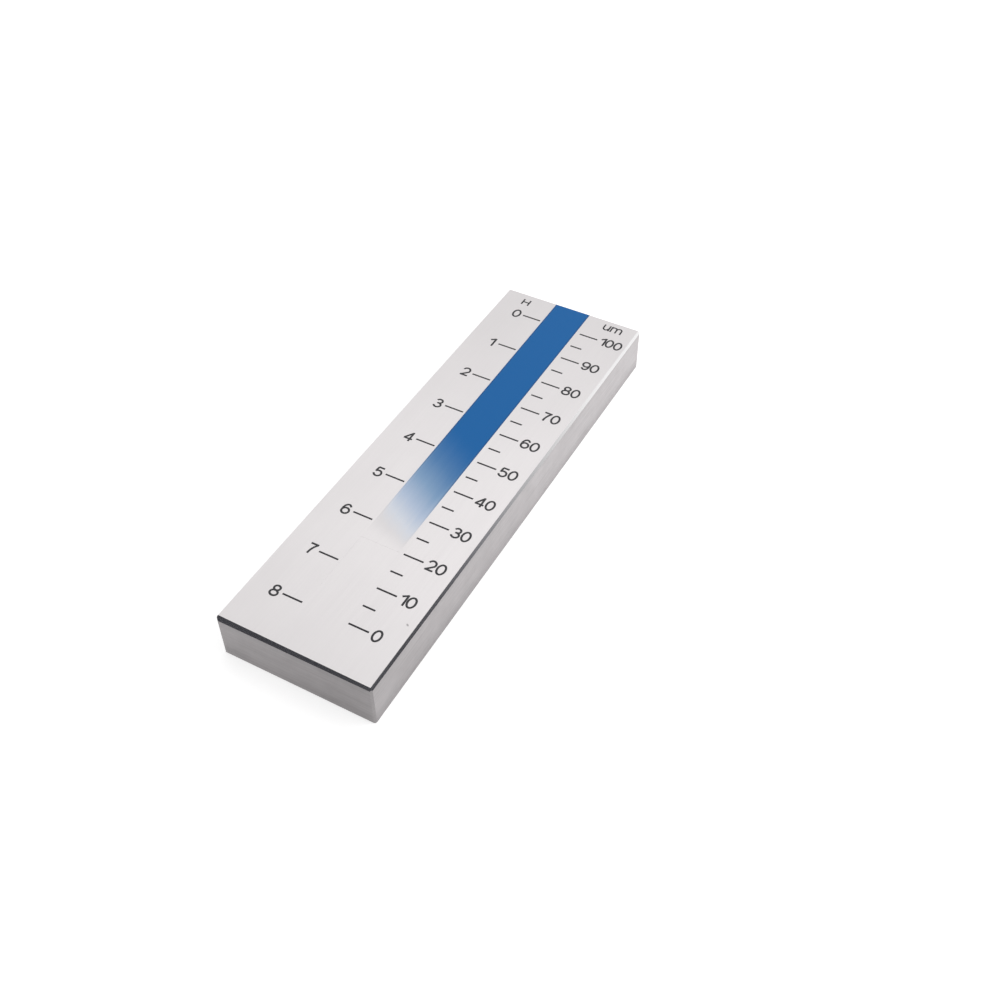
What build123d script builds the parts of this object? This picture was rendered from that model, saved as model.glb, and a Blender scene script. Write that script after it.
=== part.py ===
from build123d import *

import os

# A fineness of grind gauge: a flat ground steel block with one wide, very shallow channel
# that tapers to nothing, two engraved scales beside it, and paint drawn down the channel.
# Millimetres. The origin is the centre of the bottom face. X runs across the block, towards
# the micrometre scale. Y runs along it, towards the deep end of the channel. Z is up.

# Steel block: its right top edge is bevelled, and its near one too, wider towards the left.
# The far and left ones are only eased.
block_width = 50.0
block_length = 166.5
block_height = 15.3
right_bevel = 0.7
near_bevel_right_end = 0.7
near_bevel_left_end = 1.1
eased_edge = 0.2
bottom_bevel = 0.3
corner_bevel = 0.6

# Channel: open at the far end, and as deep as its scale says at the last mark
channel_width = 12.8
channel_offset = -0.2
channel_depth = 0.1
zero_mark_inset = 15.5
last_mark_inset = 11.0

# Engraved scales: micrometres on the right of the channel, grades on its left
micrometre_range = 100
micrometre_step = 5
numbered_step = 10
grade_range = 8
micrometre_mark_gap = 1.5
grade_mark_gap = 0.75
long_mark_length = 6.55
short_mark_length = 4.05
mark_width = 0.6
engraving_depth = 0.05

# Paint drawn down the channel, which ends where it is this thin
paint_end_depth = 0.02

# How far a cutting shape runs out past the steel
cut_clearance = 1.0

# Lines and levels that follow from the sizes above
zero_mark_y = zero_mark_inset - block_length / 2
last_mark_y = block_length / 2 - last_mark_inset
channel_left = channel_offset - channel_width / 2
channel_right = channel_offset + channel_width / 2
channel_slope = channel_depth / (last_mark_y - zero_mark_y)
open_end_y = block_length / 2 + cut_clearance


def block_outline(across, high_edge):
    """The block seen square on: its low side is eased at the top, and its high side cut as given."""
    half = across / 2
    return make_face(
        Polyline(
            (-half + bottom_bevel, 0),
            (half - bottom_bevel, 0),
            (half, bottom_bevel),
            (half, block_height - high_edge),
            (half - high_edge, block_height),
            (-half + eased_edge, block_height),
            (-half, block_height - eased_edge),
            (-half, bottom_bevel),
            close=True,
        )
    )


def near_bevel():
    """The plane that the near top edge is ground to, all along it."""
    left = Vector(-block_width / 2, near_bevel_left_end - block_length / 2, block_height)
    right = Vector(block_width / 2, near_bevel_right_end - block_length / 2, block_height)
    along = right - left
    down = Vector(0, -1, -1)
    return Plane(origin=left, x_dir=along, z_dir=down.cross(along))


def ground_blank():
    """The block before its channel: what its end view, side view and plan have in common."""
    end_outline = block_outline(block_width, right_bevel)
    side_outline = block_outline(block_length, eased_edge)
    plan_outline = chamfer(Rectangle(block_width, block_length).vertices(), corner_bevel)
    end_view = extrude(Plane.XZ * end_outline, block_length / 2, both=True)
    side_view = extrude(Plane.YZ * side_outline, block_width / 2, both=True)
    plan = extrude(plan_outline, block_height)
    return split(end_view & side_view & plan, bisect_by=near_bevel(), keep=Keep.BOTTOM)


def floor_level(y):
    """Height of the channel's floor, which falls evenly from the zero mark."""
    return block_height - channel_slope * (y - zero_mark_y)


def channel_space(from_y):
    """The tapered channel from one line along it to past the open end, as a cutting shape."""
    side = Polyline(
        (from_y, floor_level(from_y)),
        (open_end_y, floor_level(open_end_y)),
        (open_end_y, block_height + cut_clearance),
        (from_y, block_height + cut_clearance),
        close=True,
    )
    wedge = extrude(Plane.YZ * make_face(side), channel_width / 2, both=True)
    return Pos(channel_offset, 0, 0) * wedge


def mark_space(inner_x, outer_x, share):
    """The slot of one scale mark, at a share of the way from the zero mark to the last."""
    centre_x = (inner_x + outer_x) / 2
    centre_y = zero_mark_y + share * (last_mark_y - zero_mark_y)
    slot = Box(
        abs(outer_x - inner_x),
        mark_width,
        engraving_depth + cut_clearance,
        align=(Align.CENTER, Align.CENTER, Align.MIN),
    )
    return Pos(centre_x, centre_y, block_height - engraving_depth) * slot


def micrometre_marks():
    """A mark at every step: long where a number stands beside it, short between."""
    inner_x = channel_right + micrometre_mark_gap
    marks = []
    for depth in range(0, micrometre_range + 1, micrometre_step):
        numbered = depth % numbered_step == 0
        length = long_mark_length if numbered else short_mark_length
        marks.append(mark_space(inner_x, inner_x + length, depth / micrometre_range))
    return marks


def grade_marks():
    """A long mark for each grade, which is 0 at the deep end and highest at zero depth."""
    inner_x = channel_left - grade_mark_gap
    outer_x = inner_x - long_mark_length
    return [mark_space(inner_x, outer_x, 1 - grade / grade_range) for grade in range(grade_range + 1)]


def gauge_block(blank, marks):
    """One solid of hardened steel, with the channel and the scale marks cut into its face."""
    return blank - [channel_space(zero_mark_y), *marks]


def mark_filling(blank, marks):
    """Black filling of the scale marks, flush with the face: one small solid a mark."""
    return Compound([solid for mark in marks for solid in (blank & mark).solids()])


def paint_film(blank):
    """Paint that fills the channel flush with the face, down to its thinnest."""
    end_y = zero_mark_y + paint_end_depth / channel_slope
    return blank & channel_space(end_y)


def main():
    blank = ground_blank()
    marks = micrometre_marks() + grade_marks()
    parts = {
        "gauge_block": gauge_block(blank, marks),
        "mark_filling": mark_filling(blank, marks),
        "paint_film": paint_film(blank),
    }
    os.makedirs("parts", exist_ok=True)
    for name, part in parts.items():
        export_step(part, f"parts/{name}.step")


main()
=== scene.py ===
import math

import bpy
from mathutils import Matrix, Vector


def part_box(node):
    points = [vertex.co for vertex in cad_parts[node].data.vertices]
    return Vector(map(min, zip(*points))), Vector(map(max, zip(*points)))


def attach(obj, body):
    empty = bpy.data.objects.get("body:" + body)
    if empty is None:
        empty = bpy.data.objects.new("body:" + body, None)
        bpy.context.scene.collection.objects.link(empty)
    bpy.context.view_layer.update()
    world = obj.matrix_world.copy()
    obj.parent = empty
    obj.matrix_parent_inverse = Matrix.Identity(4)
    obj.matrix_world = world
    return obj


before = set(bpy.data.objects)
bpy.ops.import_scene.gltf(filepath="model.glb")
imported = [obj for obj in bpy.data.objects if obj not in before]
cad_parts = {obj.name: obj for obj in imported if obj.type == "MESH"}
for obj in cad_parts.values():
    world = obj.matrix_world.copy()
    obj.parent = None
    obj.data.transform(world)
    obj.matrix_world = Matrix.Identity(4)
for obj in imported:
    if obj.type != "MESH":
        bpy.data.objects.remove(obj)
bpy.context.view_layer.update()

bl_info = {
    "name": "Fineness of grind gauge",
    "version": (1, 0, 0),
    "blender": (4, 5, 0),
    "location": "3D View > Sidebar > Gauge",
    "description": "Finishes and print of a fineness of grind gauge, around its packed solids",
    "category": "Object",
}

MM = 0.001

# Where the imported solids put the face, the scales and the channel, in metres
BLOCK_LOW, BLOCK_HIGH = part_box("gauge_block")
MARKS_LOW, MARKS_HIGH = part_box("mark_filling")
PAINT_LOW, PAINT_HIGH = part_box("paint_film")
PAINT_MIDDLE_X = (PAINT_LOW.x + PAINT_HIGH.x) / 2
PAINT_HALF_WIDTH = (PAINT_HIGH.x - PAINT_LOW.x) / 2

# How wide a mark is along the block: the filling's box ends at the outer sides of the end marks
MARK_WIDTH = 0.6 * MM
ZERO_MARK_Y = MARKS_LOW.y + MARK_WIDTH / 2
LAST_MARK_Y = MARKS_HIGH.y - MARK_WIDTH / 2

# Numbers and letters of the scales. The micrometres begin a gap to the right of the long marks, and
# the grades and the H are centred on a line to the left of theirs
MICROMETRE_RANGE = 100
NUMBERED_STEP = 10
MICROMETRE_NUMBER_GAP = 1.12 * MM
MICROMETRE_LETTERS_X = 13.0 * MM
MICROMETRE_LETTERS_Y = 78.15 * MM
GRADE_RANGE = 8
GRADE_NUMBER_OFFSET = 2.42 * MM
GRADE_LETTER_Y = 77.65 * MM

# The pen and the spacing of the numbers and letters, where a number is 1 high
PEN_HALF = 0.08
NIB_THICKNESS = 0.04
GLYPH_GAP = 0.07
GAP_AFTER_ONE = 0.05

# The angle between two points of an arc, and how narrow a number of three digits is set
ARC_STEP = math.radians(9)
THREE_DIGIT_SQUEEZE = 0.95

# How far a normal points up where a side gives way to a bevel, and a bevel to the face
BEVEL_TILT = (0.35, 0.6)
FACE_TILT = (0.85, 0.97)

# How far a normal points along the block where its surface is ground across the block
END_TILT = 0.6

# Scale, detail and roughness of each noise. That of the lines and the plain one are stretched first
LINE_NOISE = (1.0, 4.0, 0.65)
BLOTCH_NOISE = (190.0, 4.0, 0.6)
CLOUD_NOISE = (45.0, 2.0, 0.5)
PLAIN_NOISE = (1.0, 3.0, 0.5)

# From which value of a noise to which its effect grows
NOISE_SPAN = (0.3, 0.7)
BLOTCH_SPAN = (0.35, 0.7)
SIDE_LINE_SPAN = (0.35, 0.65)
FILLING_SPAN = (0.35, 0.75)

# How far the steel darkens towards its stain colour: in clouds and lines all over, and on its sides
# near the floor as painted shade, near their top, in blotches and again in the lines
CLOUD_STAIN = 0.03
LINE_STAIN = 0.025
# Painted shade on the sides near the floor, and the height over which it fades out
FOOT_PAINTED_SHADE = 0.18
FOOT_HEIGHT = 6 * MM
BROW_DARKENING = 0.05
BROW_START = 3 * MM
BROW_END = 0.8 * MM
BLOTCH_STAIN = 0.09
SIDE_LINE_STAIN = (-0.03, 0.11)

# How far the grinding lines change the roughness either way, and the bump that they give
LINE_ROUGHNESS = 0.02
LINE_BUMP_STRENGTH = 0.05
LINE_BUMP_HEIGHT = 0.02 * MM

# A dark nick in the face: where it is, how it is turned, half its size, and its dark core
SPECK_PLACE = (21.95 * MM, -60.7 * MM, BLOCK_HIGH.z)
SPECK_TURN = (0, 0, math.radians(-35))
SPECK_SIZE = (0.75 * MM, 0.42 * MM, 0.5 * MM)
SPECK_CORE = 0.25
SPECK_STAIN = 0.6

# The filling's uneven black: cycles a metre, how much lighter it gets, and how rough it is
FILLING_SCALE = (1500, 1500, 1500)
FILLING_LIGHTENING = 2.2
FILLING_ROUGHNESS = (0.5, 0.7)
FILLING_SPECULAR = 0.3

# The paint's colours as it pales, by how bare the steel is
PALING = (
    (0.20, (0.085, 0.215, 0.44)),
    (0.45, (0.235, 0.37, 0.56)),
    (0.70, (0.47, 0.555, 0.70)),
    (0.86, (0.66, 0.69, 0.755)),
    (0.95, (0.71, 0.69, 0.70)),
    (1.00, (0.73, 0.705, 0.71)),
)

# How far from the channel's walls the paint pales sooner, by what length, and how far streaks reach
RIM_WIDTH = 1.2 * MM
RIM_LEAD = 2 * MM
STREAK_SCALE = (900, 40, 900)
STREAK_REACH = 0.6 * MM

# The last thin film: how its end slants across the channel, and how softly it ends
FILM_SLANT = 0.25
FILM_SOFTNESS = 6 * MM

# The darker border of deep paint, partly thicker paint at the channel's walls and partly painted shade
# of the walls: how far from them it begins and is whole
BORDER_START = 0.7 * MM
BORDER_END = 0.2 * MM
BORDER_SHARE = 0.5
BORDER_AND_SHADE_COLOUR = (0.02, 0.07, 0.17)

# The sheen of deep paint
PAINT_ROUGHNESS = 0.5
PAINT_SPECULAR = 0.2

# The camera, placed as the photo's was: its angles are in degrees, and its sensor in millimetres
CAMERA_PLACE = (143.26 * MM, -226.73 * MM, 276.12 * MM)
CAMERA_TURN = (43.80, 0.36, 28.79)
SENSOR_WIDTH = 36
CLIP_START = 0.01
CLIP_END = 20

# The soft lamp, which the steel doesn't mirror: its direction in degrees, and metres
LAMP_AZIMUTH = 60
LAMP_ELEVATION = 50
LAMP_DISTANCE = 1.0
LAMP_SIZE = 0.9

# The studio's light, by direction: angles in degrees, and heights as the sine of the elevation. The
# patch is a bright one high behind the block. All the rest goes from a low level to a high one
PATCH_AZIMUTH = -22
PATCH_ELEVATION = 50.3
PATCH_WIDTH = 0.42
PATCH_HEIGHT = 0.20
PATCH_LEVEL = 0.80
PATCH_FOOT = (0.40, 0.58)
LOW_LEVEL = 1.0
HIGH_LEVEL = 0.592
LOW_TO_HIGH = (0.37, 0.55)

# The dark cards that the right bevel and the near one mirror. Each has its azimuth, its elevation,
# half its width and height, and the squared distance, of 1 at its rim, within which it is all dark
DARK_CARDS = ((66, 16, 0.37, 0.21, 0.37), (208.5, 22.5, 0.23, 0.17, 0.5))
DARK_DEPTH = 0.94
DARK_TINT = (0.86, 0.87, 1.0)
DARK_TINT_POWER = 3

# A card or the patch shows on its own side of the sky alone. These are the cosines of the angle from
# its middle where that side begins and where it is whole
SPOT_SIDE = (0.2, 0.6)

# The floor: its sides, how far under the block it lies, its glow to the camera, and its tone, which
# has painted shade where the steel mirrors the floor in front of the block
FLOOR_SIDES = 96
FLOOR_DROP = 0.05 * MM
FLOOR_ROUGHNESS = 0.9
FLOOR_GLOW = 0.58
FLOOR_TONE = 0.65
FLOOR_FRONT_SHADE_TONE = 0.5

# The floor's glow in the steel: in front of the block and beside it, what is added towards the left
# and towards the far end, and how far either way from the block's near edge the front softens
FLOOR_FRONT_GLOW = 0.17
FLOOR_SIDE_GLOW = 0.38
FLOOR_LEFT_GLOW = 0.06
FLOOR_FAR_GLOW = 0.27
FLOOR_FRONT_SOFTNESS = 4 * MM


# Settings

class SteelSettings(bpy.types.PropertyGroup):
    """Colours and finish of the ground steel."""

    face_colour: bpy.props.FloatVectorProperty(
        name="Face colour",
        description="Colour of the lapped top face",
        default=(0.80, 0.772, 0.777),
        subtype="COLOR",
        min=0,
        max=1,
    )
    # Darker than the face colour, partly for the duller ground finish and partly as painted shade on
    # the sides
    side_colour: bpy.props.FloatVectorProperty(
        name="Side colour",
        description="Colour of the ground sides, ends and bottom",
        default=(0.58, 0.555, 0.562),
        subtype="COLOR",
        min=0,
        max=1,
    )
    bevel_colour: bpy.props.FloatVectorProperty(
        name="Bevel colour",
        description="Colour of the polished bevels",
        default=(0.92, 0.912, 0.914),
        subtype="COLOR",
        min=0,
        max=1,
    )
    # Also the colour that the painted shade near the sides' foot darkens towards
    stain_colour: bpy.props.FloatVectorProperty(
        name="Stain colour",
        description="Colour that blotches and grinding lines darken towards",
        default=(0.12, 0.11, 0.115),
        subtype="COLOR",
        min=0,
        max=1,
    )
    line_scale: bpy.props.FloatVectorProperty(
        name="Line scale",
        description="How many grinding lines there are to a metre along each axis",
        default=(3000, 40, 3000),
    )
    face_roughness: bpy.props.FloatProperty(
        name="Face roughness",
        description="Roughness of the lapped top face",
        default=0.3,
        subtype="FACTOR",
        min=0,
        max=1,
    )
    side_roughness: bpy.props.FloatProperty(
        name="Side roughness",
        description="Roughness of the ground sides",
        default=0.5,
        subtype="FACTOR",
        min=0,
        max=1,
    )
    bevel_roughness: bpy.props.FloatProperty(
        name="Bevel roughness",
        description="Roughness of the polished bevels",
        default=0.1,
        subtype="FACTOR",
        min=0,
        max=1,
    )


class PaintSettings(bpy.types.PropertyGroup):
    """Colour of the paint in the channel, and where it pales."""

    colour: bpy.props.FloatVectorProperty(
        name="Paint colour",
        description="Colour of the paint where it is deep",
        default=(0.005, 0.121, 0.37),
        subtype="COLOR",
        min=0,
        max=1,
    )
    fade_start: bpy.props.FloatProperty(
        name="Fade start",
        description="Where along the block the paint begins to pale",
        default=10.3 * MM,
        subtype="DISTANCE",
    )
    fade_length: bpy.props.FloatProperty(
        name="Fade length",
        description="Over what length the paint pales to bare steel",
        default=51.5 * MM,
        subtype="DISTANCE",
    )
    fade_slant: bpy.props.FloatProperty(
        name="Fade slant",
        description="How much further down the block the paint runs for each length across it",
        default=0.6,
    )
    film_end: bpy.props.FloatProperty(
        name="Film end",
        description="Where along the block the last thin film is gone",
        default=-39.0 * MM,
        subtype="DISTANCE",
    )


class PrintSettings(bpy.types.PropertyGroup):
    """Sizes of the numbers and letters."""

    number_height: bpy.props.FloatProperty(
        name="Number height",
        description="Height of the numbers",
        default=4.1 * MM,
        subtype="DISTANCE",
    )
    letter_height: bpy.props.FloatProperty(
        name="Letter height",
        description="Height that the unit letters are drawn to",
        default=3.4 * MM,
        subtype="DISTANCE",
    )
    film: bpy.props.FloatProperty(
        name="Print thickness",
        description="How far the print stands off the face",
        default=0.012 * MM,
        subtype="DISTANCE",
    )
    colour: bpy.props.FloatVectorProperty(
        name="Filling colour",
        description="Colour of the print and of the filled marks",
        default=(0.02, 0.019, 0.022),
        subtype="COLOR",
        min=0,
        max=1,
    )


class StageSettings(bpy.types.PropertyGroup):
    """Floor, light and camera."""

    floor_radius: bpy.props.FloatProperty(
        name="Floor radius",
        description="Radius of the pale floor",
        default=3.0,
        subtype="DISTANCE",
    )
    lamp_power: bpy.props.FloatProperty(
        name="Key lamp",
        description="Power of the large soft lamp",
        default=3.7,
        subtype="POWER",
    )
    lens: bpy.props.FloatProperty(
        name="Lens",
        description="Focal length of the camera",
        default=44.36,
        unit="CAMERA",
    )


# Node helpers

def add(tree, kind, *values, **settings):
    """A new node: settings are its own options, and values go to its sockets in order."""
    made = tree.nodes.new(kind)
    for name, value in settings.items():
        setattr(made, name, value)
    for socket, value in zip(made.inputs, values):
        if isinstance(value, bpy.types.NodeSocket):
            tree.links.new(value, socket)
        elif value is not None:
            socket.default_value = value
    return made


def maths(tree, operation, *values):
    """The result of one Math node."""
    return add(tree, "ShaderNodeMath", *values, operation=operation).outputs[0]


def ramp(tree, value, start, end, low=0.0, high=1.0, smooth=True):
    """A value that runs from low to high while the other runs from start to end."""
    kind = "SMOOTHSTEP" if smooth else "LINEAR"
    made = add(tree, "ShaderNodeMapRange", value, start, end, low, high, interpolation_type=kind)
    return made.outputs[0]


def spread(tree, texture, low, high):
    """A value that runs evenly from low to high over the usual span of a noise."""
    return ramp(tree, texture, *NOISE_SPAN, low, high, smooth=False)


def mix_colour(tree, factor, first, second):
    """One colour blended into another: a Mix node's colours are its inputs 6 and 7 and its output 2."""
    made = tree.nodes.new("ShaderNodeMix")
    made.data_type = "RGBA"
    sockets = (made.inputs[0], made.inputs[6], made.inputs[7])
    for socket, value in zip(sockets, (factor, first, second)):
        if isinstance(value, bpy.types.NodeSocket):
            tree.links.new(value, socket)
        elif isinstance(value, (int, float)):
            socket.default_value = value
        else:
            socket.default_value = (*value, 1)
    return made.outputs[2]


def colour_ramp(tree, value, stops):
    """The colour at a value, from a list of positions and colours."""
    made = add(tree, "ShaderNodeValToRGB", value)
    elements = made.color_ramp.elements
    elements.remove(elements[1])
    elements[0].position = stops[0][0]
    elements[0].color = (*stops[0][1], 1)
    for position, colour in stops[1:]:
        elements.new(position).color = (*colour, 1)
    return made.outputs[0]


def noise(tree, vector, scale):
    """A noise value, at a scale along each axis in cycles a metre."""
    mapping = add(tree, "ShaderNodeMapping", vector, None, None, scale)
    made = add(tree, "ShaderNodeTexNoise", mapping.outputs[0], None, *PLAIN_NOISE)
    return made.outputs[0]


def new_material(name):
    """A material with its node tree and its Principled shader."""
    material = bpy.data.materials.new(name)
    material.use_nodes = True
    tree = material.node_tree
    return material, tree, tree.nodes["Principled BSDF"]


def finish_node(name, material):
    """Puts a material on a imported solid."""
    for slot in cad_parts[name].material_slots:
        slot.material = material


def ground_finish_group():
    """What grinding leaves on steel: fine lines, soft blotches, and clouds of tone."""
    name = "Ground finish"
    if name in bpy.data.node_groups:
        return bpy.data.node_groups[name]
    group = bpy.data.node_groups.new(name, "ShaderNodeTree")
    sockets = group.interface
    sockets.new_socket("Vector", in_out="INPUT", socket_type="NodeSocketVector")
    sockets.new_socket("Line scale", in_out="INPUT", socket_type="NodeSocketVector")
    sockets.new_socket("Lines", in_out="OUTPUT", socket_type="NodeSocketFloat")
    sockets.new_socket("Blotches", in_out="OUTPUT", socket_type="NodeSocketFloat")
    sockets.new_socket("Clouds", in_out="OUTPUT", socket_type="NodeSocketFloat")
    source = group.nodes.new("NodeGroupInput")
    place, line_scale, *_ = source.outputs
    stretched = add(group, "ShaderNodeVectorMath", place, line_scale, operation="MULTIPLY")
    lines = add(group, "ShaderNodeTexNoise", stretched.outputs[0], None, *LINE_NOISE)
    blotches = add(group, "ShaderNodeTexNoise", place, None, *BLOTCH_NOISE)
    clouds = add(group, "ShaderNodeTexNoise", place, None, *CLOUD_NOISE)
    result = group.nodes.new("NodeGroupOutput")
    for socket, texture in zip(result.inputs, (lines, blotches, clouds)):
        group.links.new(texture.outputs[0], socket)
    return group


# Materials

def steel_material(steel):
    """Ground steel: a lapped face, duller sides whose darker colour is partly painted shade, and
    polished bevels.
    """
    material, tree, shader = new_material("ground_steel")
    coordinates = add(tree, "ShaderNodeTexCoord")
    place = coordinates.outputs["Object"]
    _, endward, upward = add(tree, "ShaderNodeSeparateXYZ", coordinates.outputs["Normal"]).outputs
    face = ramp(tree, upward, *FACE_TILT)
    above_side = ramp(tree, upward, *BEVEL_TILT)
    bevel = maths(tree, "SUBTRACT", above_side, face)
    side = maths(tree, "SUBTRACT", 1, above_side)

    lines, blotches, clouds = ground_finish(tree, place, turned_lines(tree, endward, steel))
    # The sides take a darker colour than the face, partly as painted shade
    colour = mix_colour(tree, face, steel.side_colour, steel.face_colour)
    colour = mix_colour(tree, bevel, colour, steel.bevel_colour)
    # On the sides: painted shade near the floor, darkening near the top, blotches and lines
    shade = maths(tree, "MULTIPLY", side_stain(tree, place, lines, blotches), side)
    shade = maths(tree, "ADD", shade, ground_stain(tree, lines, clouds))
    shade = maths(tree, "MAXIMUM", shade, speck(tree, place))
    tree.links.new(mix_colour(tree, shade, colour, steel.stain_colour), shader.inputs["Base Color"])

    roughness = ramp(tree, face, 0, 1, steel.side_roughness, steel.face_roughness, smooth=False)
    polish = maths(tree, "MULTIPLY", bevel, steel.bevel_roughness - steel.side_roughness)
    roughness = maths(tree, "ADD", roughness, polish)
    roughness = maths(tree, "ADD", roughness, spread(tree, lines, -LINE_ROUGHNESS, LINE_ROUGHNESS))
    tree.links.new(roughness, shader.inputs["Roughness"])
    shader.inputs["Metallic"].default_value = 1
    tree.links.new(line_bump(tree, lines), shader.inputs["Normal"])
    return material


def turned_lines(tree, endward, steel):
    """The scale of the grinding lines, which run along the block but across it on its two ends."""
    on_end = maths(tree, "GREATER_THAN", maths(tree, "ABSOLUTE", endward), END_TILT)
    across, along, _ = steel.line_scale
    turn = (along - across, across - along, 0)
    scale = add(tree, "ShaderNodeVectorMath", on_end, turn, steel.line_scale, operation="MULTIPLY_ADD")
    return scale.outputs[0]


def ground_finish(tree, place, line_scale):
    """The lines, blotches and clouds of the ground finish, at each place on the steel."""
    return add(tree, "ShaderNodeGroup", place, line_scale, node_tree=ground_finish_group()).outputs


def ground_stain(tree, lines, clouds):
    """How far any ground surface darkens towards its stain colour."""
    in_clouds = spread(tree, clouds, 0, CLOUD_STAIN)
    in_lines = spread(tree, lines, 0, LINE_STAIN)
    return maths(tree, "ADD", in_clouds, in_lines)


def side_stain(tree, place, lines, blotches):
    """How much further a side darkens: painted shade near the floor, near its top, in blotches and in
    lines.
    """
    height = add(tree, "ShaderNodeSeparateXYZ", place).outputs[2]
    # Painted shade: the sides darken towards the floor
    painted_foot_shade = ramp(tree, height, 0, FOOT_HEIGHT, FOOT_PAINTED_SHADE, 0)
    brow = ramp(tree, height, BLOCK_HIGH.z - BROW_START, BLOCK_HIGH.z - BROW_END, 0, BROW_DARKENING)
    in_blotches = ramp(tree, blotches, *BLOTCH_SPAN, 0, BLOTCH_STAIN, smooth=False)
    in_lines = ramp(tree, lines, *SIDE_LINE_SPAN, *SIDE_LINE_STAIN, smooth=False)
    stain = maths(tree, "ADD", maths(tree, "ADD", painted_foot_shade, brow), in_blotches)
    return maths(tree, "ADD", stain, in_lines)


def line_bump(tree, lines):
    """The normal that the grinding lines give."""
    bump = add(tree, "ShaderNodeBump")
    bump.inputs["Strength"].default_value = LINE_BUMP_STRENGTH
    bump.inputs["Distance"].default_value = LINE_BUMP_HEIGHT
    tree.links.new(lines, bump.inputs["Height"])
    return bump.outputs[0]


def speck(tree, place):
    """One small dark nick in the face, near its bevelled edge."""
    shape = (SPECK_PLACE, SPECK_TURN, SPECK_SIZE)
    inside = add(tree, "ShaderNodeMapping", place, *shape, vector_type="TEXTURE")
    distance = add(tree, "ShaderNodeVectorMath", inside.outputs[0], operation="LENGTH").outputs["Value"]
    return ramp(tree, distance, SPECK_CORE, 1, SPECK_STAIN, 0)


def filling_material(print_settings):
    """Matt black filling, a little uneven."""
    material, tree, shader = new_material("black_filling")
    place = add(tree, "ShaderNodeTexCoord").outputs["Object"]
    patches = noise(tree, place, FILLING_SCALE)
    lighter = tuple(min(1, FILLING_LIGHTENING * channel) for channel in print_settings.colour)
    colour = mix_colour(tree, ramp(tree, patches, *FILLING_SPAN), print_settings.colour, lighter)
    tree.links.new(colour, shader.inputs["Base Color"])
    roughness = ramp(tree, patches, *NOISE_SPAN, *FILLING_ROUGHNESS)
    tree.links.new(roughness, shader.inputs["Roughness"])
    shader.inputs["Specular IOR Level"].default_value = FILLING_SPECULAR
    return material


def paint_material(paint, steel):
    """Blue paint that pales to the steel under it as it thins."""
    material, tree, shader = new_material("blue_paint")
    place = add(tree, "ShaderNodeTexCoord").outputs["Object"]
    across, along, _ = add(tree, "ShaderNodeSeparateXYZ", place).outputs
    from_middle = maths(tree, "ABSOLUTE", maths(tree, "SUBTRACT", across, PAINT_MIDDLE_X))
    rim = ramp(tree, from_middle, PAINT_HALF_WIDTH - RIM_WIDTH, PAINT_HALF_WIDTH)
    slanted = maths(tree, "MULTIPLY_ADD", across, paint.fade_slant, along)
    slanted = maths(tree, "MULTIPLY_ADD", rim, -RIM_LEAD, slanted)
    streaks = noise(tree, place, STREAK_SCALE)
    slanted = maths(tree, "ADD", slanted, spread(tree, streaks, -STREAK_REACH, STREAK_REACH))
    bare = ramp(tree, slanted, paint.fade_start, paint.fade_start - paint.fade_length)
    colours = colour_ramp(tree, bare, ((0, paint.colour), *PALING))

    lines, _, clouds = ground_finish(tree, place, steel.line_scale)
    stain = ground_stain(tree, lines, clouds)
    bare_steel = mix_colour(tree, stain, steel.face_colour, steel.stain_colour)
    film_slanted = maths(tree, "MULTIPLY_ADD", across, FILM_SLANT, along)
    film = ramp(tree, film_slanted, paint.film_end, paint.film_end + FILM_SOFTNESS)
    colour = mix_colour(tree, film, bare_steel, colours)
    border_span = (PAINT_HALF_WIDTH - BORDER_START, PAINT_HALF_WIDTH - BORDER_END)
    # Partly painted shade of the channel's walls, partly thicker paint along them
    wall_border_and_shade = ramp(tree, from_middle, *border_span, 0, BORDER_SHARE)
    wall_border_and_shade = maths(tree, "MULTIPLY", wall_border_and_shade, maths(tree, "SUBTRACT", 1, bare))
    colour = mix_colour(tree, wall_border_and_shade, colour, BORDER_AND_SHADE_COLOUR)
    tree.links.new(colour, shader.inputs["Base Color"])
    tree.links.new(bare, shader.inputs["Metallic"])

    roughness = ramp(tree, bare, 0, 1, PAINT_ROUGHNESS, steel.face_roughness, smooth=False)
    roughness = maths(tree, "ADD", roughness, spread(tree, lines, -LINE_ROUGHNESS, LINE_ROUGHNESS))
    tree.links.new(roughness, shader.inputs["Roughness"])
    tree.links.new(line_bump(tree, lines), shader.inputs["Normal"])
    shader.inputs["Specular IOR Level"].default_value = PAINT_SPECULAR
    return material


# Print

def arc(centre, radii, start, end):
    """Points along part of an ellipse, from one angle in degrees to another."""
    sweep = math.radians(end - start)
    count = max(2, round(abs(sweep) / ARC_STEP))
    angles = [math.radians(start) + sweep * i / count for i in range(count + 1)]
    return [(centre[0] + radii[0] * math.cos(a), centre[1] + radii[1] * math.sin(a)) for a in angles]


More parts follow.
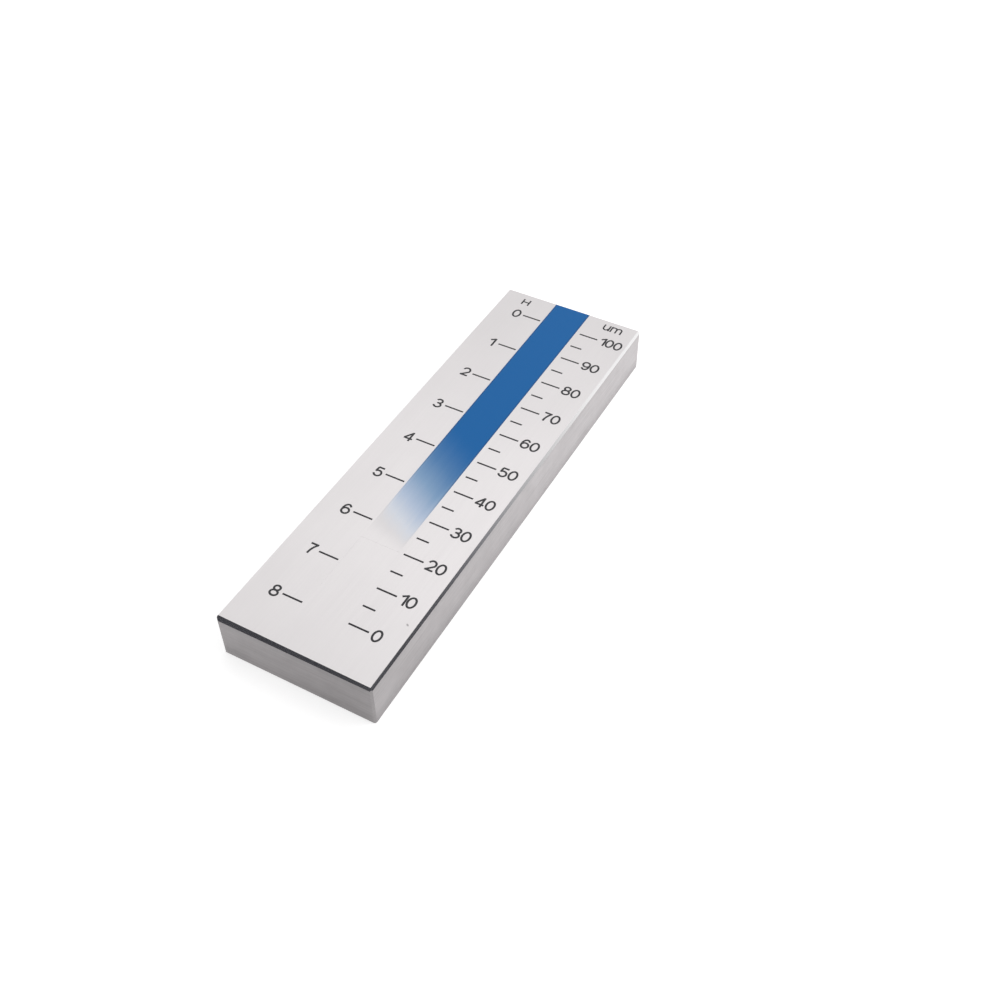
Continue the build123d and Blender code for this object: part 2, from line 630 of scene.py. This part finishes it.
def glyph_strokes():
    """Each character's width and pen strokes, where a number is 1 high."""
    low = PEN_HALF
    high = 1 - PEN_HALF
    six = [
        arc((0.35, 0.33), (0.285, 0.27), 90, 450),
        arc((0.35, 0.50), (0.29, 0.44), 193, 38),
    ]
    nine = [[(0.70 - x, 1 - y) for x, y in stroke] for stroke in six]
    return {
        "0": (0.70, [arc((0.35, 0.5), (0.29, 0.44), 0, 360)]),
        "1": (0.47, [[(0.41, 0), (0.41, 1)], [(0.41, 0.93), (0.03, 0.70)]]),
        "2": (0.70, [
            arc((0.35, 0.66), (0.27, 0.28), 170, -32) + [(0.10, 0.07)],
            [(0.03, low), (0.67, low)],
        ]),
        "3": (0.68, [
            arc((0.33, 0.73), (0.235, 0.21), 165, -90),
            arc((0.335, 0.295), (0.28, 0.235), 90, -165),
            [(0.22, 0.525), (0.36, 0.525)],
        ]),
        "4": (0.71, [
            [(0.50, 0), (0.50, 1)],
            [(0.50, 0.94), (0.05, 0.28)],
            [(0.0, 0.27), (0.70, 0.27)],
        ]),
        "5": (0.70, [
            [(0.12, high), (0.62, high)],
            [(0.155, high), (0.11, 0.47)],
            arc((0.34, 0.335), (0.285, 0.275), 145, -165),
        ]),
        "6": (0.70, six),
        "7": (0.69, [[(0.03, high), (0.66, high)], arc((1.2, 0), (0.93, 1.2), 180, 129)]),
        "8": (0.70, [
            arc((0.35, 0.735), (0.235, 0.205), 0, 360),
            arc((0.35, 0.295), (0.29, 0.235), 0, 360),
        ]),
        "9": (0.70, nine),
        "H": (0.84, [
            [(low, 0), (low, 0.88)],
            [(0.76, 0), (0.76, 0.88)],
            [(low, 0.44), (0.76, 0.44)],
        ]),
        "u": (0.75, [
            [(low, 0.86), (low, 0.34)] + arc((0.34, 0.34), (0.26, 0.27), 180, 360)[1:],
            [(0.67, 0), (0.67, 0.86)],
        ]),
        "m": (1.2, [
            [(low, 0), (low, 0.86)],
            arc((0.34, 0.55), (0.26, 0.24), 180, 0) + [(0.6, 0)],
            arc((0.86, 0.55), (0.26, 0.24), 180, 0) + [(1.12, 0)],
        ]),
    }


def deselect():
    """Leaves nothing selected, so that an operator acts on new work only."""
    bpy.ops.object.select_all(action="DESELECT")


def select_only(objects):
    """Selects these objects, with the first one active."""
    deselect()
    for chosen in objects:
        chosen.select_set(True)
    bpy.context.view_layer.objects.active = objects[0]


def pen_nib():
    """The pen's cross-section, as wide as a stroke, before it is made as thin as the print."""
    deselect()
    bpy.ops.curve.primitive_bezier_circle_add()
    nib = bpy.context.object
    nib.data.splines.clear()
    outline = nib.data.splines.new("POLY")
    outline.points.add(3)
    for point, (x, y) in zip(outline.points, ((-1, -1), (1, -1), (1, 1), (-1, 1))):
        point.co = (x * PEN_HALF, y * NIB_THICKNESS / 2, 0, 1)
    outline.use_cyclic_u = True
    return nib


def draw_glyph(strokes, nib):
    """One character as a closed mesh: its strokes drawn with the pen and made one."""
    deselect()
    bpy.ops.curve.primitive_bezier_curve_add()
    glyph = bpy.context.object
    curve = glyph.data
    curve.dimensions = "3D"
    curve.twist_mode = "Z_UP"
    curve.splines.clear()
    for stroke in strokes:
        closed = math.dist(stroke[0], stroke[-1]) < 1e-6
        points = stroke[:-1] if closed else stroke
        line = curve.splines.new("POLY")
        line.points.add(len(points) - 1)
        for point, (x, y) in zip(line.points, points):
            point.co = (x, y, 0, 1)
        line.use_cyclic_u = closed
    curve.bevel_mode = "OBJECT"
    curve.bevel_object = nib
    curve.use_fill_caps = True
    bpy.ops.object.convert(target="MESH")
    bpy.ops.object.mode_set(mode="EDIT")
    bpy.ops.mesh.select_all(action="SELECT")
    bpy.ops.mesh.remove_doubles(threshold=1e-4)
    bpy.ops.mesh.normals_make_consistent(inside=False)
    bpy.ops.mesh.intersect_boolean(operation="UNION", use_self=True, solver="EXACT")
    bpy.ops.mesh.select_all(action="SELECT")
    bpy.ops.mesh.quads_convert_to_tris(quad_method="BEAUTY", ngon_method="BEAUTY")
    bpy.ops.object.mode_set(mode="OBJECT")
    return glyph


def set_text(text, left, bottom, height, film, drawn, glyphs):
    """Copies of the drawn characters, set in a line on the face."""
    copies = []
    width = height * (THREE_DIGIT_SQUEEZE if len(text) == 3 else 1)
    for character in text:
        copy = drawn[character].copy()
        copy.data = drawn[character].data.copy()
        bpy.context.collection.objects.link(copy)
        copy.location = (left, bottom, BLOCK_HIGH.z + film / 2)
        copy.scale = (width, height, film / NIB_THICKNESS)
        copies.append(copy)
        gap = GAP_AFTER_ONE if character == "1" else GLYPH_GAP
        left += (glyphs[character][0] + gap) * width
    return copies


def join_print(name, copies, material):
    """One piece of print from its set characters, lying on the face."""
    select_only(copies)
    bpy.ops.object.transform_apply(location=True, rotation=True, scale=True)
    bpy.ops.object.join()
    piece = bpy.context.object
    piece.name = name
    piece.data.name = name
    piece.data.materials.clear()
    piece.data.materials.append(material)
    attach(piece, "root")
    return piece


# Operators

class GAUGE_OT_finish_block(bpy.types.Operator):
    """Gives the steel block its ground finish"""

    bl_idname = "gauge.finish_block"
    bl_label = "Finish the steel block"

    def execute(self, context):
        finish_node("gauge_block", steel_material(context.scene.gauge_steel))
        return {"FINISHED"}


class GAUGE_OT_finish_marks(bpy.types.Operator):
    """Gives the filled scale marks their black"""

    bl_idname = "gauge.finish_marks"
    bl_label = "Finish the scale marks"

    def execute(self, context):
        finish_node("mark_filling", filling_material(context.scene.gauge_print))
        return {"FINISHED"}


class GAUGE_OT_finish_paint(bpy.types.Operator):
    """Gives the paint in the channel its colour and its fade"""

    bl_idname = "gauge.finish_paint"
    bl_label = "Finish the paint"

    def execute(self, context):
        scene = context.scene
        finish_node("paint_film", paint_material(scene.gauge_paint, scene.gauge_steel))
        return {"FINISHED"}


class GAUGE_OT_print_face(bpy.types.Operator):
    """Prints the numbers of both scales and the unit letters over them"""

    bl_idname = "gauge.print_face"
    bl_label = "Print the numbers and letters"

    def execute(self, context):
        settings = context.scene.gauge_print
        height = settings.number_height
        film = settings.film
        glyphs = glyph_strokes()
        nib = pen_nib()
        drawn = {character: draw_glyph(strokes, nib) for character, (_, strokes) in glyphs.items()}
        scale_length = LAST_MARK_Y - ZERO_MARK_Y
        material = bpy.data.materials["black_filling"]

        copies = []
        left = MARKS_HIGH.x + MICROMETRE_NUMBER_GAP
        for depth in range(0, MICROMETRE_RANGE + 1, NUMBERED_STEP):
            bottom = ZERO_MARK_Y + scale_length * depth / MICROMETRE_RANGE - height / 2
            copies += set_text(str(depth), left, bottom, height, film, drawn, glyphs)
        join_print("micrometre_numbers", copies, material)

        copies = []
        centre = MARKS_LOW.x - GRADE_NUMBER_OFFSET
        for grade in range(GRADE_RANGE + 1):
            text = str(grade)
            left = centre - glyphs[text][0] * height / 2
            bottom = LAST_MARK_Y - scale_length * grade / GRADE_RANGE - height / 2
            copies += set_text(text, left, bottom, height, film, drawn, glyphs)
        join_print("grade_numbers", copies, material)

        height = settings.letter_height
        left = centre - glyphs["H"][0] * height / 2
        copies = set_text("H", left, GRADE_LETTER_Y, height, film, drawn, glyphs)
        left = MICROMETRE_LETTERS_X
        copies += set_text("um", left, MICROMETRE_LETTERS_Y, height, film, drawn, glyphs)
        join_print("unit_letters", copies, material)

        select_only([*drawn.values(), nib])
        bpy.ops.object.delete()
        return {"FINISHED"}


def floor_material():
    """Pale floor that shows white around the block's shadow, and in the steel painted shade in front.
    """
    material, tree, shader = new_material("pale_floor")
    shader.inputs["Roughness"].default_value = FLOOR_ROUGHNESS
    shader.inputs["Specular IOR Level"].default_value = 0
    shader.inputs["Emission Color"].default_value = (1, 1, 1, 1)
    place = add(tree, "ShaderNodeTexCoord").outputs["Object"]
    across, along, _ = add(tree, "ShaderNodeSeparateXYZ", place).outputs
    front_edge = BLOCK_LOW.y
    front = ramp(tree, along, front_edge + FLOOR_FRONT_SOFTNESS, front_edge - FLOOR_FRONT_SOFTNESS)
    leftward = ramp(tree, across, BLOCK_HIGH.x, BLOCK_LOW.x, 0, FLOOR_LEFT_GLOW)
    farward = ramp(tree, along, BLOCK_LOW.y, BLOCK_HIGH.y, 0, FLOOR_FAR_GLOW)
    mirrored = ramp(tree, front, 0, 1, FLOOR_SIDE_GLOW, FLOOR_FRONT_GLOW, smooth=False)
    mirrored = maths(tree, "ADD", maths(tree, "ADD", mirrored, leftward), farward)
    path = add(tree, "ShaderNodeLightPath")
    # Painted shade on the floor in front of the block, seen only in the steel
    front_shade_in_steel = maths(tree, "MULTIPLY", path.outputs["Is Glossy Ray"], front)
    tone = mix_colour(tree, front_shade_in_steel, (FLOOR_TONE,) * 3, (FLOOR_FRONT_SHADE_TONE,) * 3)
    tree.links.new(tone, shader.inputs["Base Color"])
    seen = maths(tree, "MAXIMUM", path.outputs["Is Camera Ray"], path.outputs["Is Transmission Ray"])
    glow = maths(tree, "MULTIPLY", seen, FLOOR_GLOW)
    glow = maths(tree, "MULTIPLY_ADD", path.outputs["Is Glossy Ray"], mirrored, glow)
    tree.links.new(glow, shader.inputs["Emission Strength"])
    return material


def towards(azimuth, elevation):
    """The direction at an azimuth, from +Y round to +X, and an elevation, both in degrees."""
    flat = math.cos(math.radians(elevation))
    turn = math.radians(azimuth)
    return Vector((math.sin(turn) * flat, math.cos(turn) * flat, math.sin(math.radians(elevation))))


def studio_world():
    """Soft light from all round, with a bright patch high behind and two dark cards for the bevels.

    The camera sees it plain white.
    """
    world = bpy.data.worlds.new("studio")
    bpy.context.scene.world = world
    world.use_nodes = True
    tree = world.node_tree
    direction = add(tree, "ShaderNodeTexCoord").outputs["Generated"]
    height = add(tree, "ShaderNodeSeparateXYZ", direction).outputs[2]

    def facing(vector):
        """How nearly a direction points along another."""
        made = add(tree, "ShaderNodeVectorMath", direction, vector, operation="DOT_PRODUCT")
        return made.outputs["Value"]

    def spot(azimuth, elevation, half_width, half_height):
        """How far a direction is from a spot's middle, squared, and whether it is on its side."""
        middle = towards(azimuth, elevation)
        sideways = towards(azimuth + 90, 0)
        across = maths(tree, "MULTIPLY", facing(sideways), 1 / half_width)
        up = maths(tree, "MULTIPLY", facing(sideways.cross(middle)), 1 / half_height)
        apart = maths(tree, "MULTIPLY_ADD", up, up, maths(tree, "MULTIPLY", across, across))
        return apart, ramp(tree, facing(middle), *SPOT_SIDE)

    apart, on_side = spot(PATCH_AZIMUTH, PATCH_ELEVATION, PATCH_WIDTH, PATCH_HEIGHT)
    patch = maths(tree, "EXPONENT", maths(tree, "MULTIPLY", apart, -1))
    patch = maths(tree, "MULTIPLY", patch, on_side)
    patch = maths(tree, "MULTIPLY", patch, ramp(tree, height, *PATCH_FOOT))

    dark = 0
    for azimuth, elevation, half_width, half_height, core in DARK_CARDS:
        apart, on_side = spot(azimuth, elevation, half_width, half_height)
        card = maths(tree, "MULTIPLY", on_side, ramp(tree, apart, 1, core, smooth=False))
        dark = maths(tree, "MAXIMUM", dark, card)
    level = ramp(tree, height, *LOW_TO_HIGH, LOW_LEVEL, HIGH_LEVEL)
    level = maths(tree, "MULTIPLY_ADD", patch, PATCH_LEVEL, level)
    lit = maths(tree, "SUBTRACT", 1, maths(tree, "MULTIPLY", dark, DARK_DEPTH))
    path = add(tree, "ShaderNodeLightPath")
    seen = maths(tree, "MAXIMUM", path.outputs["Is Camera Ray"], path.outputs["Is Transmission Ray"])
    strength = maths(tree, "MAXIMUM", maths(tree, "MULTIPLY", level, lit), seen)
    background = tree.nodes["Background"]
    tree.links.new(strength, background.inputs["Strength"])
    tint = mix_colour(tree, maths(tree, "POWER", dark, DARK_TINT_POWER), (1, 1, 1), DARK_TINT)
    tree.links.new(mix_colour(tree, seen, tint, (1, 1, 1)), background.inputs["Color"])


class GAUGE_OT_set_stage(bpy.types.Operator):
    """Sets the floor, the light and the camera"""

    bl_idname = "gauge.set_stage"
    bl_label = "Set the stage"

    def execute(self, context):
        settings = context.scene.gauge_stage
        deselect()
        bpy.ops.mesh.primitive_circle_add(
            vertices=FLOOR_SIDES,
            radius=settings.floor_radius,
            fill_type="NGON",
            location=(0, 0, -FLOOR_DROP),
        )
        floor = context.object
        bpy.ops.object.transform_apply(location=True, rotation=True, scale=True)
        floor.name = "floor"
        floor.data.materials.append(floor_material())

        studio_world()
        bpy.ops.object.light_add(type="AREA")
        lamp = context.object
        lamp.name = "key_lamp"
        lamp.data.shape = "DISK"
        lamp.data.size = LAMP_SIZE
        lamp.visible_glossy = False
        lamp.data.energy = settings.lamp_power
        away = towards(LAMP_AZIMUTH, LAMP_ELEVATION)
        lamp.location = LAMP_DISTANCE * away
        lamp.rotation_euler = (-away).to_track_quat("-Z", "Y").to_euler()

        bpy.ops.object.camera_add()
        camera = context.object
        camera.name = "camera"
        camera.data.sensor_width = SENSOR_WIDTH
        camera.data.lens = settings.lens
        camera.data.clip_start = CLIP_START
        camera.data.clip_end = CLIP_END
        camera.location = CAMERA_PLACE
        camera.rotation_euler = [math.radians(angle) for angle in CAMERA_TURN]
        context.scene.camera = camera
        context.scene.view_settings.view_transform = "Standard"
        return {"FINISHED"}


class GAUGE_PT_panel(bpy.types.Panel):
    """Lists the steps that make the gauge"""

    bl_idname = "GAUGE_PT_panel"
    bl_label = "Fineness of grind gauge"
    bl_space_type = "VIEW_3D"
    bl_region_type = "UI"
    bl_category = "Gauge"

    def draw(self, context):
        for operator in OPERATORS:
            self.layout.operator(operator.bl_idname)
        for name in SETTINGS:
            settings = getattr(context.scene, name)
            box = self.layout.box()
            for field in settings.__annotations__:
                box.prop(settings, field)


SETTINGS = {
    "gauge_steel": SteelSettings,
    "gauge_paint": PaintSettings,
    "gauge_print": PrintSettings,
    "gauge_stage": StageSettings,
}
OPERATORS = (
    GAUGE_OT_finish_block,
    GAUGE_OT_finish_marks,
    GAUGE_OT_finish_paint,
    GAUGE_OT_print_face,
    GAUGE_OT_set_stage,
)


def register():
    """Registers the settings, the operators and the panel."""
    for name, group in SETTINGS.items():
        bpy.utils.register_class(group)
        setattr(bpy.types.Scene, name, bpy.props.PointerProperty(type=group))
    for operator in OPERATORS:
        bpy.utils.register_class(operator)
    bpy.utils.register_class(GAUGE_PT_panel)


def unregister():
    """Removes what register added."""
    bpy.utils.unregister_class(GAUGE_PT_panel)
    for operator in reversed(OPERATORS):
        bpy.utils.unregister_class(operator)
    for name, group in reversed(SETTINGS.items()):
        delattr(bpy.types.Scene, name)
        bpy.utils.unregister_class(group)


def main():
    """Makes the whole gauge."""
    register()
    bpy.ops.gauge.finish_block()
    bpy.ops.gauge.finish_marks()
    bpy.ops.gauge.finish_paint()
    bpy.ops.gauge.print_face()
    bpy.ops.gauge.set_stage()


if __name__ == "__main__":
    main()
